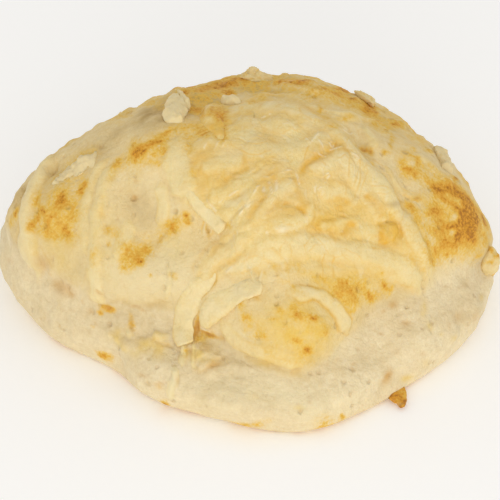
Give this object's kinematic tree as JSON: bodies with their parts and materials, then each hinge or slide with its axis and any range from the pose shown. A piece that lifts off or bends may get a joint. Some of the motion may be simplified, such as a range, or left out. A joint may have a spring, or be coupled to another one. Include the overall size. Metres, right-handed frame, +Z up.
{
  "type": "cheese scone",
  "caption": "Hand-shaped cheese scone, torn open along its front under a domed crust, with melted and crisp shreds of cheese.",
  "frame": {"origin": "middle of the outline seen from above, on the flat base", "axes": "+X along the scone's length, towards the browned right end; -Y towards the torn front; +Z up"},
  "size_m": [0.1034, 0.0857, 0.0462],
  "materials": {
    "crust": "pale baked dough with a floury open side, golden brown patches and melted yellow cheese"
  },
  "bodies": {
    "root": {"scone": "crust"}
  },
  "joints": []
}
